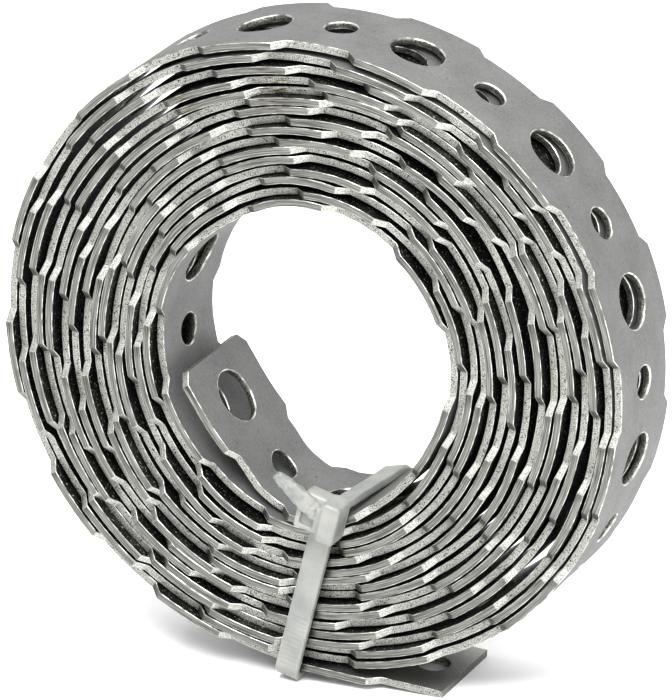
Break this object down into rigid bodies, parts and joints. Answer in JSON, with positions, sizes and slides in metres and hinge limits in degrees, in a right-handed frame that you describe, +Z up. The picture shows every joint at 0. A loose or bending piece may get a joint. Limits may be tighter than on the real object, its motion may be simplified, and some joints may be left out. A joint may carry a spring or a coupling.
{
  "type": "roll of perforated metal strap",
  "caption": "Roll of wavy-edged perforated steel strap with alternating large and small holes, wound on itself and bound with a nylon cable tie.",
  "frame": {"origin": "on the floor, under the middle of the part's bounding box, which its cable tie's head and back strand set along Y", "axes": "+Y along the roll's axis, away from the end with the tie's head; +X towards the outer tail; +Z up"},
  "size_m": [0.0865, 0.0286, 0.0888],
  "materials": {
    "steel": "satin",
    "nylon": "satin"
  },
  "bodies": {
    "root": {"strap": "steel", "cable_tie": "nylon"}
  },
  "joints": []
}
